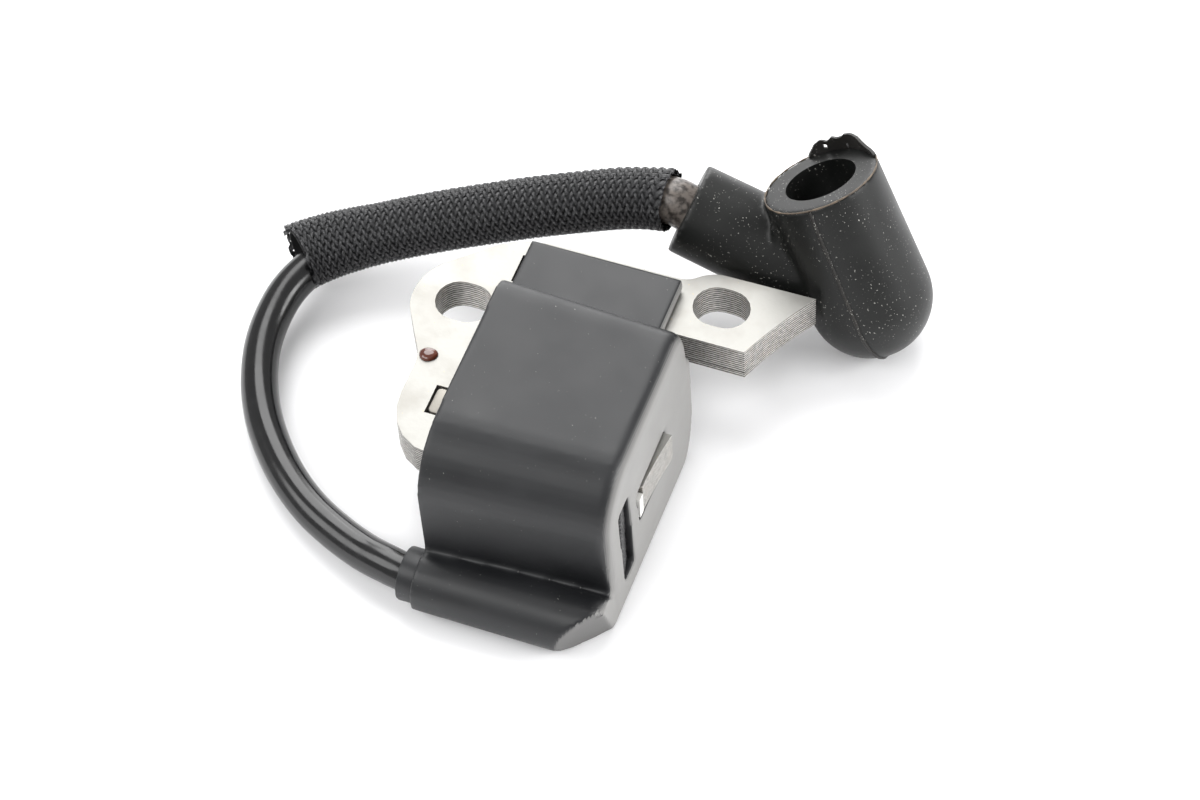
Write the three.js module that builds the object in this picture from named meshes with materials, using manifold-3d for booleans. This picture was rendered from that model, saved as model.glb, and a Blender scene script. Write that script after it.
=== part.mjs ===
// Ignition coil for a small engine: a laminated steel core, a moulded case with
// the coil and its electronics inside, and a high tension lead with a plug boot.
// Millimetres, +Z up. X runs along the coil's axis, with the flywheel at +X.
// The origin is under the middle of the core and case, on the surface they stand on.
import * as THREE from 'three';
import Module from 'manifold-3d';

const wasm = await Module();
wasm.setup();

// ---------------------------------------------------------------- driving sizes
const clearance = 0.3;

// core
const sheetThickness = 0.5;
const sheetCount = 12;
const coreBottom = 10.6;
const coreTop = coreBottom + sheetCount * sheetThickness;
const coreMiddle = (coreBottom + coreTop) / 2;
const flywheelRadius = 74.8;
const flywheelCentre = { x: 90.7, y: -10.8 };
const slotLength = 8.8;
const slotWidth = 7.2;
const slotCentres = [
  { x: -21, y: 14.3 },
  { x: 16.1, y: 25.6 },
];
const legFrontY = -8.6;
const legBackY = 1.3;
const legMiddleY = (legFrontY + legBackY) / 2;
const rivetHole = { length: 5.2, width: 3.2 };
const rivetPin = { length: 4.5, width: 2.5 };
const rivetCentres = {
  core_rivet_front: { x: -17.4, y: -3.9 },
  core_rivet_back: { x: -14.1, y: 22.9 },
};

// case
const caseLeft = -12.25;
const caseRight = 15.75;
const caseFront = -21.9;
const caseBack = 13.1;
const caseTop = 30;
const wall = 2;
const endWallInside = caseRight - wall;
// the mould's draft: the open left end is this much wider and taller, and the
// end wall leans out by this much at its foot
const draft = { y: 2.6, z: 2, foot: 0.6 };
const saddle = { x0: -14.7, x1: 9.6, y1: 27, z0: 8.1, z1: 19 };
const boss = { y: -26.65, z: 4.85, radius: 4.85 };
// flat cut across the boss's right end, kept on the side of its normal
const bossCut = { normal: [-0.741, 0.642, 0.197], offset: -26.8 };
const recess = { y0: -17.3, y1: -13.5, z0: 4.4, z1: 20.8 };

// high tension lead and what is on it
const leadRadius = 2.9;
const boreRadius = leadRadius + clearance;
const collar = { x0: -14.8, x1: -7.3, radius: 4.1 };
const studX0 = -1.7;
const studX1 = 3.9;

const clearTube = { radius: 3.7, depth: 2.5 };

// plug boot: a short neck for the lead and a wide barrel for the plug
const bulbCentre = new THREE.Vector3(34.9, 40, 9.6);
const bulbRadius = 9.6;
const neckRise = THREE.MathUtils.degToRad(18.6);
const neckLength = 30.8;
const neckRadius = 7.2;
const barrelHeading = THREE.MathUtils.degToRad(153);
const barrelRise = THREE.MathUtils.degToRad(59);
const barrelLength = 21.3;
const mouthRadius = 9.05;
const mouthBore = 5.6;
const neckDirection = new THREE.Vector3(-Math.cos(neckRise), 0, Math.sin(neckRise));
const barrelDirection = new THREE.Vector3(
  Math.cos(barrelRise) * Math.cos(barrelHeading),
  Math.cos(barrelRise) * Math.sin(barrelHeading),
  Math.sin(barrelRise),
);

// ---------------------------------------------------------------- materials
function material(color, roughness, metalness) {
  return new THREE.MeshStandardMaterial({ color, roughness, metalness });
}

const materials = {
  sheetSteel: material(0xd9d7d0, 0.38, 0.9),
  rivetSteel: material(0xb4b1aa, 0.45, 0.9),
  casePlastic: material(0x2c2d30, 0.55, 0),
  resin: material(0x141416, 0.7, 0),
  whitePlastic: material(0xe9e8e3, 0.5, 0),
  amberPlastic: material(0xb9a98a, 0.5, 0),
  copper: material(0xb4703c, 0.35, 0.9),
  fineCopper: material(0x9a5a2e, 0.4, 0.8),
  board: material(0x24523a, 0.6, 0),
  capacitor: material(0x8c3a22, 0.45, 0),
  chip: material(0x1b1b1d, 0.5, 0),
  diode: material(0x202022, 0.4, 0),
  resistor: material(0x3b4a6b, 0.5, 0),
  brass: material(0xb8964a, 0.35, 0.95),
  springSteel: material(0xa9a9a7, 0.3, 0.95),
  collarPlastic: material(0x3a3b3e, 0.5, 0),
  leadRubber: material(0x151515, 0.25, 0),
  braid: material(0x1d1d1e, 0.6, 0),
  clearSilicone: material(0xcfcac2, 0.3, 0),
  bootRubber: material(0x1c1d1c, 0.6, 0),
  lacquer: material(0x6b2c1e, 0.2, 0),
};

// ---------------------------------------------------------------- solids
const group = new THREE.Group();

function add(name, geometry, finish) {
  const mesh = new THREE.Mesh(geometry, finish);
  mesh.name = name;
  group.add(mesh);
}

// Joins equal corners, so that a three.js geometry becomes a closed manifold mesh.
function solid(geometry) {
  const position = geometry.getAttribute('position');
  const index = geometry.getIndex();
  const count = index ? index.count : position.count;
  const corners = [];
  const triangles = [];
  const seen = new Map();
  for (let i = 0; i < count; i += 1) {
    const at = index ? index.getX(i) : i;
    const corner = [position.getX(at), position.getY(at), position.getZ(at)];
    const key = corner.map((value) => Math.round(value * 1e5)).join(',');
    if (!seen.has(key)) {
      seen.set(key, seen.size);
      corners.push(...corner);
    }
    triangles.push(seen.get(key));
  }
  const kept = [];
  for (let i = 0; i < triangles.length; i += 3) {
    const [a, b, c] = triangles.slice(i, i + 3);
    if (a !== b && b !== c && c !== a) kept.push(a, b, c);
  }
  const mesh = new wasm.Mesh({
    numProp: 3,
    vertProperties: new Float32Array(corners),
    triVerts: new Uint32Array(kept),
  });
  return new wasm.Manifold(mesh);
}

function toGeometry(manifold) {
  const mesh = manifold.getMesh();
  const geometry = new THREE.BufferGeometry();
  geometry.setAttribute('position', new THREE.BufferAttribute(mesh.vertProperties, 3));
  geometry.setIndex(new THREE.BufferAttribute(mesh.triVerts, 1));
  geometry.computeVertexNormals();
  return geometry;
}

function box(x0, x1, y0, y1, z0, z1) {
  const geometry = new THREE.BoxGeometry(x1 - x0, y1 - y0, z1 - z0);
  geometry.translate((x0 + x1) / 2, (y0 + y1) / 2, (z0 + z1) / 2);
  return solid(geometry);
}

// The outline as straight steps, with no doubled points.
function polygon(points) {
  const rounded = points.map(({ x, y }) => new THREE.Vector2(
    Math.round(x * 1e4) / 1e4,
    Math.round(y * 1e4) / 1e4,
  ));
  return rounded.filter((point, i) => {
    const before = rounded[(i + rounded.length - 1) % rounded.length];
    return point.distanceTo(before) > 1e-3;
  });
}

function extrude(shape, depth, curveSegments) {
  const { shape: outline, holes } = shape.extractPoints(curveSegments);
  const stepped = new THREE.Shape(polygon(outline));
  stepped.holes = holes.map((hole) => new THREE.Path(polygon(hole)));
  return new THREE.ExtrudeGeometry(stepped, { depth, bevelEnabled: false });
}

function extrudeZ(shape, z0, z1, curveSegments = 8) {
  const geometry = extrude(shape, z1 - z0, curveSegments);
  geometry.translate(0, 0, z0);
  return solid(geometry);
}

// A shape drawn in Y and Z, drawn out along X.
function extrudeX(shape, x0, x1, curveSegments = 8) {
  const geometry = extrude(shape, x1 - x0, curveSegments);
  const turn = new THREE.Matrix4().makeBasis(
    new THREE.Vector3(0, 1, 0),
    new THREE.Vector3(0, 0, 1),
    new THREE.Vector3(1, 0, 0),
  );
  geometry.applyMatrix4(turn);
  geometry.translate(x0, 0, 0);
  return solid(geometry);
}

// A turned piece: the profile is [radius, distance along the axis] pairs.
function turned(profile, start, direction, segments) {
  const points = profile.map(([radius, along]) => new THREE.Vector2(radius, along));
  const geometry = new THREE.LatheGeometry(points, segments);
  const turn = new THREE.Quaternion().setFromUnitVectors(
    new THREE.Vector3(0, 1, 0),
    direction.clone().normalize(),
  );
  geometry.applyQuaternion(turn);
  geometry.translate(start.x, start.y, start.z);
  return solid(geometry);
}

function rod(radius, start, end, segments = 20) {
  const direction = end.clone().sub(start);
  const length = direction.length();
  return turned([[0, 0], [radius, 0], [radius, length], [0, length]], start, direction, segments);
}

function obround(centre, length, width) {
  const half = (length - width) / 2;
  const radius = width / 2;
  const path = new THREE.Path();
  path.absarc(centre.x + half, centre.y, radius, -Math.PI / 2, Math.PI / 2);
  path.absarc(centre.x - half, centre.y, radius, Math.PI / 2, Math.PI * 1.5);
  path.closePath();
  return path;
}

function roundedRectangle(shape, x0, x1, y0, y1, radius) {
  shape.absarc(x1 - radius, y0 + radius, radius, -Math.PI / 2, 0);
  shape.absarc(x1 - radius, y1 - radius, radius, 0, Math.PI / 2);
  shape.absarc(x0 + radius, y1 - radius, radius, Math.PI / 2, Math.PI);
  shape.absarc(x0 + radius, y0 + radius, radius, Math.PI, Math.PI * 1.5);
  shape.closePath();
  return shape;
}

// ---------------------------------------------------------------- laminated core
function flywheelArc(shape, fromY, toY) {
  const angle = (y) => Math.PI - Math.asin((y - flywheelCentre.y) / flywheelRadius);
  const { x, y } = flywheelCentre;
  shape.absarc(x, y, flywheelRadius, angle(fromY), angle(toY), fromY < toY);
}

const earFrontY = 18.8;
const earBackY = 31.5;
const yokeInnerX = -14;

// One sheet seen from above, anticlockwise from the front leg's pole face.
function sheetOutline() {
  const shape = new THREE.Shape();
  flywheelArc(shape, legFrontY, legBackY);
  shape.lineTo(yokeInnerX + 1, legBackY);
  shape.absarc(yokeInnerX + 1, legBackY + 1, 1, -Math.PI / 2, Math.PI, true);
  shape.lineTo(yokeInnerX, earFrontY - 1);
  shape.absarc(yokeInnerX + 1, earFrontY - 1, 1, Math.PI, Math.PI / 2, true);
  shape.lineTo(21.9, earFrontY);
  flywheelArc(shape, earFrontY, earBackY);
  // step behind the right ear, down to the back leg
  shape.lineTo(14.2, earBackY);
  shape.quadraticCurveTo(12.2, 31.2, 10.8, 29.9);
  shape.quadraticCurveTo(9.8, 28.9, 8, 28.8);
  shape.lineTo(-12.5, 28.8);
  // left ear, round the slot
  shape.quadraticCurveTo(-17, 28.4, -20, 26.2);
  shape.lineTo(-25.5, 21.2);
  shape.bezierCurveTo(-28.2, 19.2, -29, 16.5, -29, 14.2);
  shape.bezierCurveTo(-29, 11.6, -28.4, 10.8, -27.2, 8.8);
  shape.lineTo(-24.6, 4.4);
  shape.quadraticCurveTo(-23.6, 3, -23.6, 0.8);
  // rounded front corner of the yoke
  shape.lineTo(-23.6, -4);
  shape.bezierCurveTo(-23.6, -9, -20.5, -13.2, -15, -13.2);
  shape.lineTo(-13.8, -13.2);
  shape.quadraticCurveTo(-13, -13.2, -13, -12.4);
  shape.lineTo(-13, legFrontY);
  shape.closePath();
  for (const centre of slotCentres) {
    shape.holes.push(obround(centre, slotLength, slotWidth));
  }
  for (const { x, y } of Object.values(rivetCentres)) {
    const hole = new THREE.Path();
    hole.moveTo(x - rivetHole.width / 2, y - rivetHole.length / 2);
    hole.lineTo(x + rivetHole.width / 2, y - rivetHole.length / 2);
    hole.lineTo(x + rivetHole.width / 2, y + rivetHole.length / 2);
    hole.lineTo(x - rivetHole.width / 2, y + rivetHole.length / 2);
    hole.closePath();
    shape.holes.push(hole);
  }
  return shape;
}

const sheetShape = sheetOutline();
for (let i = 0; i < sheetCount; i += 1) {
  const z0 = coreBottom + i * sheetThickness;
  const sheet = extrudeZ(sheetShape, z0, z0 + sheetThickness, 5);
  add(`core_lamination_${String(i + 1).padStart(2, '0')}`, toGeometry(sheet), materials.sheetSteel);
}

for (const [name, { x, y }] of Object.entries(rivetCentres)) {
  const section = roundedRectangle(
    new THREE.Shape(),
    x - rivetPin.width / 2,
    x + rivetPin.width / 2,
    y - rivetPin.length / 2,
    y + rivetPin.length / 2,
    0.7,
  );
  add(name, toGeometry(extrudeZ(section, coreBottom, coreTop, 3)), materials.rivetSteel);
}

// drop of locking lacquer at the notch between the two ears of the yoke
const drop = { x: -22.3, y: 3.4, radius: 1.4, height: 0.7 };
const dropProfile = [[0, 0], [drop.radius, 0], [1.25, 0.3], [0.85, 0.58], [0, drop.height]];
const dropFoot = new THREE.Vector3(drop.x, drop.y, coreTop);
const up = new THREE.Vector3(0, 0, 1);
add('varnish_drop', toGeometry(turned(dropProfile, dropFoot, up, 16)), materials.lacquer);

// ---------------------------------------------------------------- case
// The case seen from its end: a flat base, a back that bulges a little, and a top
// that rounds over at the front. inset draws the same outline inside the wall.
function caseProfile(inset) {
  const middle = { y: (caseFront + caseBack) / 2, z: caseTop / 2 };
  const shareY = 1 - (2 * inset) / (caseBack - caseFront);
  const shareZ = 1 - (2 * inset) / caseTop;
  const at = (y, z) => [middle.y + (y - middle.y) * shareY, middle.z + (z - middle.z) * shareZ];
  const shape = new THREE.Shape();
  shape.moveTo(...at(caseFront, 0));
  shape.lineTo(...at(7, 0));
  shape.bezierCurveTo(...at(10.5, 0), ...at(12.2, 5), ...at(12.8, 10.5));
  shape.bezierCurveTo(...at(13.3, 15), ...at(13, 19.6), ...at(12.1, 24.4));
  shape.bezierCurveTo(...at(11.5, 27.8), ...at(10.4, caseTop), ...at(7.6, caseTop));
  shape.lineTo(...at(-12.9, caseTop - 0.5));
  shape.bezierCurveTo(...at(-17.9, 29.3), ...at(caseFront, 25.4), ...at(caseFront, 20.4));
  shape.closePath();
  return shape;
}

// How far out the end wall leans at that height.
const footLean = (z) => Math.max(0, 1 - z / coreMiddle) * draft.foot;

// Gives a piece of the case the lean of the end wall, which moves its right end only.
function leaning(manifold) {
  return manifold.warp((corner) => {
    if (corner[0] > caseRight - 0.01) corner[0] += footLean(corner[2]);
  });
}

// Gives a piece of the case the mould's draft, which moves its corners only.
function drafted(manifold) {
  return manifold.warp((corner) => {
    const share = (caseRight - corner[0]) / (caseRight - caseLeft);
    corner[1] -= (share * draft.y * (caseBack - corner[1])) / (caseBack - caseFront);
    corner[2] += (share * draft.z * corner[2]) / caseTop;
  });
}

const bossLine = (x) => new THREE.Vector3(x, boss.y, boss.z);

function makeCase() {
  let body = leaning(drafted(extrudeX(caseProfile(0), caseLeft, caseRight, 9)));
  body = body.add(leaning(rod(boss.radius, bossLine(caseLeft), bossLine(caseRight), 40)));
  body = body.add(leaning(box(caseLeft, caseRight, boss.y, caseFront + 1, 0, boss.z)));
  body = body.add(box(saddle.x0, saddle.x1, caseBack - 1.5, saddle.y1, saddle.z0, saddle.z1));
  // coil space, open at the left end
  body = body.subtract(drafted(extrudeX(caseProfile(wall), caseLeft - 1, endWallInside, 9)));
  // the back leg passes through the saddle
  body = body.subtract(box(
    saddle.x0 - 1,
    saddle.x1 + 1,
    earFrontY - clearance,
    saddle.y1 + 1,
    coreBottom - clearance,
    coreTop + clearance,
  ));
  body = body.subtract(box(
    saddle.x0 - 1,
    yokeInnerX + clearance,
    caseBack - 2,
    earFrontY,
    coreBottom - clearance,
    coreTop + clearance,
  ));
  // window for the front leg's pole and for the bobbin's tongue
  body = body.subtract(box(
    endWallInside - 1,
    caseRight + 2,
    legFrontY - 1.9,
    legBackY + clearance,
    coreBottom - clearance,
    coreTop + clearance,
  ));
  body = body.subtract(box(
    endWallInside - 1,
    caseRight + 2,
    recess.y0,
    recess.y1,
    recess.z0,
    recess.z1,
  ));
  // bore for the lead, wider where the collar sits
  body = body.subtract(rod(boreRadius, bossLine(caseLeft - 1), bossLine(studX1 + clearance), 24));
  body = body.subtract(rod(
    collar.radius + clearance,
    bossLine(caseLeft - 1),
    bossLine(collar.x1 + clearance),
    24,
  ));
  // slot for the high tension terminal's tail
  body = body.subtract(box(1.2, 3.8, boss.y + 1, caseFront + 3, 2.5, 3.9));
  // the boss ends in a slanted flat towards the flywheel
  return body.trimByPlane(bossCut.normal, bossCut.offset);
}

add('housing', toGeometry(makeCase()), materials.casePlastic);

// ---------------------------------------------------------------- coil
const coilLeft = -9.4;
const coilRight = 13.15;

// A rectangular ring round the front leg, drawn out along X. The sizes are half
// widths in Y and Z from the leg's middle.
function ring(x0, x1, innerY, innerZ, outerY, outerZ, radius) {
  const shape = roundedRectangle(
    new THREE.Shape(),
    legMiddleY - outerY,
    legMiddleY + outerY,
    coreMiddle - outerZ,
    coreMiddle + outerZ,
    radius,
  );
  const hole = new THREE.Path();
  hole.moveTo(legMiddleY - innerY, coreMiddle - innerZ);
  hole.lineTo(legMiddleY + innerY, coreMiddle - innerZ);
  hole.lineTo(legMiddleY + innerY, coreMiddle + innerZ);
  hole.lineTo(legMiddleY - innerY, coreMiddle + innerZ);
  hole.closePath();
  shape.holes.push(hole);
  return extrudeX(shape, x0, x1, 3);
}

const flange = 1;
const former = { innerY: 5.25, innerZ: 3.3, tubeY: 6.15, tubeZ: 4.2, outerY: 7.4, outerZ: 5.4 };
let primary = ring(coilLeft, coilRight, former.innerY, former.innerZ, former.tubeY, former.tubeZ, 0.4);
for (const x0 of [coilLeft, coilRight - flange]) {
  const cheek = ring(x0, x0 + flange, former.innerY, former.innerZ, former.outerY, former.outerZ, 0.8);
  primary = primary.add(cheek);
}
// a tongue of the bobbin shows in the case's window, beside the pole
primary = primary.add(box(
  coilRight - 1,
  caseRight + 0.3,
  legFrontY - 1.6,
  legFrontY - clearance,
  coreBottom + 0.3,
  coreTop - 1.4,
));
add('primary_bobbin', toGeometry(primary), materials.whitePlastic);

const primaryTurns = ring(
  coilLeft + flange + 0.1,
  coilRight - flange - 0.1,
  former.tubeY + 0.2,
  former.tubeZ + 0.2,
  former.outerY - 0.1,
  former.outerZ - 0.1,
  0.8,
);
add('primary_winding', toGeometry(primaryTurns), materials.copper);

const outerFormer = { innerY: 7.7, innerZ: 5.7, tubeY: 8.4, tubeZ: 6.4, outerY: 10.8, outerZ: 9.2 };
const sections = 5;
const divider = 0.8;
const pitch = (coilRight - coilLeft - divider) / sections;
let outer = ring(
  coilLeft,
  coilRight,
  outerFormer.innerY,
  outerFormer.innerZ,
  outerFormer.tubeY,
  outerFormer.tubeZ,
  0.5,
);
for (let i = 0; i <= sections; i += 1) {
  const x0 = coilLeft + i * pitch;
  outer = outer.add(ring(
    x0,
    x0 + divider,
    outerFormer.innerY,
    outerFormer.innerZ,
    outerFormer.outerY,
    outerFormer.outerZ,
    1.5,
  ));
}
add('secondary_bobbin', toGeometry(outer), materials.amberPlastic);

for (let i = 0; i < sections; i += 1) {
  const x0 = coilLeft + i * pitch + divider + 0.2;
  const turns = ring(
    x0,
    x0 + pitch - divider - 0.4,
    outerFormer.tubeY + 0.15,
    outerFormer.tubeZ + 0.15,
    outerFormer.outerY - 0.4,
    outerFormer.outerZ - 0.4,
    1.2,
  );
  add(`secondary_winding_${i + 1}`, toGeometry(turns), materials.fineCopper);
}

// ---------------------------------------------------------------- electronics
const boardBack = -18.5;
const boardFront = boardBack - 0.8;
add('trigger_board', toGeometry(box(-8, 11, boardFront, boardBack, 4.2, 17)), materials.board);
add('storage_capacitor', toGeometry(box(-7, 2.4, boardBack, -16.4, 6, 13)), materials.capacitor);
add('thyristor', toGeometry(box(4.2, 9.8, boardBack, -16.9, 10, 14)), materials.chip);
add(
  'rectifier_diode',
  toGeometry(rod(
    0.95,
    new THREE.Vector3(4.4, boardBack + 1, 7),
    new THREE.Vector3(9, boardBack + 1, 7),
    14,
  )),
  materials.diode,
);
add('gate_resistor', toGeometry(box(-5, -2.6, boardBack, -17.8, 14.6, 15.9)), materials.resistor);

// ---------------------------------------------------------------- terminal
const stud = rod(2.1, bossLine(studX0), bossLine(studX1), 20);
const tail = box(1.5, 3.5, boss.y, caseFront + 2.2, 2.9, 3.6);
add('ht_terminal', toGeometry(stud.add(tail)), materials.brass);

// ---------------------------------------------------------------- potting
function makePotting() {
  const gap = clearance;
  let resin = drafted(extrudeX(caseProfile(wall + gap), caseLeft + gap, endWallInside - gap, 9));
  // room for the coil, open towards the flywheel
  resin = resin.subtract(box(
    coilLeft - gap,
    endWallInside,
    legMiddleY - outerFormer.outerY - gap,
    legMiddleY + outerFormer.outerY + gap,
    coreMiddle - outerFormer.outerZ - gap,
    coreMiddle + outerFormer.outerZ + gap,
  ));
  // passage for the front leg
  resin = resin.subtract(box(
    caseLeft - 1,
    coilLeft,
    legFrontY - gap,
    legBackY + gap,
    coreBottom - gap,
    coreTop + gap,
  ));
  // room for the board and its parts, open towards the case's front wall
  resin = resin.subtract(box(-8.3, 11.3, caseFront, -15, 3.9, 17.3));
  resin = resin.subtract(box(1.2, 3.8, caseFront, -18.5, 1, 4));
  // pad that fills the foot of the end recess, and its root beside the coil
  const padFront = endWallInside + 0.9;
  const padY0 = recess.y0 + gap;
  const padZ0 = recess.z0 + gap;
  const padZ1 = recess.z1 - gap;
  resin = resin.add(box(12, padFront, padY0, padY0 + 0.9, padZ0, padZ1));
  return resin.add(box(13.5, padFront, padY0, recess.y1 - gap, padZ0, padZ1));
}

add('potting_compound', toGeometry(makePotting()), materials.resin);

// ---------------------------------------------------------------- collar
const collarBody = rod(collar.radius, bossLine(collar.x0), bossLine(collar.x1), 24);
const collarBore = rod(boreRadius, bossLine(collar.x0 - 1), bossLine(collar.x1 + 1), 24);
add('cable_collar', toGeometry(collarBody.subtract(collarBore)), materials.collarPlastic);

// ---------------------------------------------------------------- plug boot
const along = (direction, distance) => bulbCentre.clone().addScaledVector(direction, distance);

function makeBoot() {
  const bulb = [];
  for (let i = 0; i <= 8; i += 1) {
    const angle = (i / 8) * (Math.PI / 2);
    bulb.push([bulbRadius * Math.sin(angle), -bulbRadius * Math.cos(angle)]);
  }
  const barrelProfile = [...bulb, [mouthRadius, barrelLength], [0, barrelLength]];
  let boot = turned(barrelProfile, bulbCentre, barrelDirection, 36);
  boot = boot.add(rod(neckRadius, bulbCentre, along(neckDirection, neckLength), 32));
  const socket = [[0, -4], [3, -3.2], [mouthBore, 0.5], [mouthBore, barrelLength + 1], [0, barrelLength + 1]];
  boot = boot.subtract(turned(socket, bulbCentre, barrelDirection, 28));
  boot = boot.subtract(rod(boreRadius, bulbCentre, along(neckDirection, neckLength + 1), 24));
  // wider mouth, where the clear tube goes in
  const tubeBore = clearTube.radius + clearance;
  const tubeSeat = along(neckDirection, neckLength - clearTube.depth - clearance);
  return boot.subtract(rod(tubeBore, tubeSeat, along(neckDirection, neckLength + 1), 24));
}

add('plug_boot', toGeometry(makeBoot()), materials.bootRubber);

// spring that grips the plug's top, wound round the barrel's axis
const springRadius = 4;
const springWire = 0.45;
const springTurns = 4;
const springStart = 6.3;
const springPitch = 1.8;

function makeSpring() {
  const side = new THREE.Vector3().crossVectors(barrelDirection, neckDirection).normalize();
  const across = new THREE.Vector3().crossVectors(side, barrelDirection).normalize();
  const points = [];
  const perTurn = 10;
  for (let i = 0; i <= springTurns * perTurn; i += 1) {
    const angle = (i / perTurn) * Math.PI * 2;
    const point = along(barrelDirection, springStart + (i / perTurn) * springPitch);
    point.addScaledVector(side, springRadius * Math.cos(angle));
    point.addScaledVector(across, springRadius * Math.sin(angle));
    points.push(point);
  }
  return tube(points, springWire, 6, springTurns * perTurn);
}

// ---------------------------------------------------------------- tubes on a path
// A round bar, or a tube when inner is given, along smooth points.
function tube(points, radius, sides, steps, inner = 0) {
  const section = new THREE.Shape();
  const hole = new THREE.Path();
  for (let i = 0; i < sides; i += 1) {
    const angle = (i / sides) * Math.PI * 2;
    const method = i === 0 ? 'moveTo' : 'lineTo';
    section[method](radius * Math.cos(angle), radius * Math.sin(angle));
    hole[method](inner * Math.cos(angle), inner * Math.sin(angle));
  }
  section.closePath();
  hole.closePath();
  if (inner > 0) section.holes.push(hole);
  const geometry = new THREE.ExtrudeGeometry(section, {
    steps,
    extrudePath: new THREE.CatmullRomCurve3(points, false, 'centripetal'),
    bevelEnabled: false,
  });
  return solid(geometry);
}

add('plug_spring', toGeometry(makeSpring()), materials.springSteel);

const leadEnd = 10.5;
add(
  'lead_spike',
  toGeometry(rod(0.6, along(neckDirection, leadEnd - clearance), along(neckDirection, 4.2), 10)),
  materials.springSteel,
);

// ---------------------------------------------------------------- lead and sleeves
const neckMouth = along(neckDirection, neckLength);
const beforeNeck = along(neckDirection, neckLength + 2.2);
const route = [
  new THREE.Vector3(-2, boss.y, boss.z),
  new THREE.Vector3(-8, boss.y, boss.z),
  new THREE.Vector3(-14.6, boss.y, boss.z),
  new THREE.Vector3(-18.2, -25.9, 4.5),
  new THREE.Vector3(-22.2, -24.7, 3.8),
  new THREE.Vector3(-27.4, -22.6, 3.3),
  new THREE.Vector3(-32.9, -19.8, 3.1),
  new THREE.Vector3(-37.9, -16.2, 3.1),
  new THREE.Vector3(-42.4, -11.9, 3.2),
  new THREE.Vector3(-46.4, -6.9, 3.5),
  new THREE.Vector3(-49.5, -1.3, 4),
  new THREE.Vector3(-51.4, 4.6, 4.8),
  new THREE.Vector3(-51.9, 10.4, 5.6),
  new THREE.Vector3(-51.2, 15.5, 6.4),
  new THREE.Vector3(-48.9, 20.5, 7.2),
  new THREE.Vector3(-44.9, 24.9, 8.2),
  new THREE.Vector3(-39.3, 28.6, 9.4),
  new THREE.Vector3(-32.6, 31.6, 10.8),
  new THREE.Vector3(-25.4, 34.2, 12.5),
  new THREE.Vector3(-18.2, 36.5, 14.3),
  new THREE.Vector3(-10.7, 38.5, 16.2),
  new THREE.Vector3(-4.6, 39.7, 18),
  new THREE.Vector3(-0.5, 40, 19.2),
  beforeNeck,
  neckMouth,
  along(neckDirection, neckLength - 8),
  along(neckDirection, neckLength - 15),
  along(neckDirection, leadEnd),
];
const leadCurve = new THREE.CatmullRomCurve3(route, false, 'centripetal');

function stretch(from, to, count) {
  const points = [];
  for (let i = 0; i <= count; i += 1) {
    points.push(leadCurve.getPointAt(from + ((to - from) * i) / count));
  }
  return points;
}

add('ht_lead', toGeometry(tube(route, leadRadius, 10, 64)), materials.leadRubber);

const neckShare = shareAt(neckMouth);
const total = leadCurve.getLength();
const sleeveEnd = neckShare - 2.6 / total;
const sleeveStart = shareAt(new THREE.Vector3(-50.2, 18.4, 6.9));

function shareAt(point) {
  let best = 0;
  let nearest = Infinity;
  for (let i = 0; i <= 1000; i += 1) {
    const distance = leadCurve.getPointAt(i / 1000).distanceTo(point);
    if (distance < nearest) {
      nearest = distance;
      best = i / 1000;
    }
  }
  return best;
}

add(
  'braided_sleeve',
  toGeometry(tube(stretch(sleeveStart, sleeveEnd, 30), 4.7, 12, 34, 4.15)),
  materials.braid,
);
add(
  'clear_tube',
  toGeometry(tube(
    stretch(sleeveEnd - 5 / total, neckShare + clearTube.depth / total, 8),
    clearTube.radius,
    12,
    8,
    boreRadius,
  )),
  materials.clearSilicone,
);

export default group;
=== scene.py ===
# %% [markdown]
# # A small-engine ignition coil
# A laminated steel core, a moulded case with the coil inside, and a high tension
# lead that ends in a rubber plug boot. The engineering model is loaded first. It
# fixes where everything is, and every piece made here rides on one of its bodies.

# %% Load the engineering model
import math
import random
import bpy
import numpy as np
from mathutils import Matrix, Vector


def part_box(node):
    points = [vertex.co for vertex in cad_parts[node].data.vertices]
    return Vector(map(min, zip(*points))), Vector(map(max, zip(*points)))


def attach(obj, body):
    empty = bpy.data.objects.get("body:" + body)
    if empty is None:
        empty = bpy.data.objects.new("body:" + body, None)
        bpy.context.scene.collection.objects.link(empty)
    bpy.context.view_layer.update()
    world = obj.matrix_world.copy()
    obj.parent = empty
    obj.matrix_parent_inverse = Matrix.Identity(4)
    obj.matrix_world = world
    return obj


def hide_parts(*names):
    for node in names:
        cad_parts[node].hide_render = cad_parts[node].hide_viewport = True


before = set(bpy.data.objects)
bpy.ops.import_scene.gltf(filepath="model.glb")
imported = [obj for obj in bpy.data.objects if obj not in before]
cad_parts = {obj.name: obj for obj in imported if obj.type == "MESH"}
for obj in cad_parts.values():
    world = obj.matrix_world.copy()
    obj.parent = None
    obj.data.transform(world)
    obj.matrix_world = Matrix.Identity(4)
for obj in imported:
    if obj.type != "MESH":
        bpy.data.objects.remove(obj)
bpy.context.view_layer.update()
MM = 0.001
random.seed(7)

# %% [markdown]
# The object is lit like a catalogue shot on a white table, by five soft lights. The key
# light behind and a lower one further back give the flat tops their sheen, and one low on
# the right lights the end of the case. Two weak ones, at the front and on the left, fill
# the shadows. The camera looks down steeply through a long lens, which keeps the core's
# edges nearly parallel.

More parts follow.
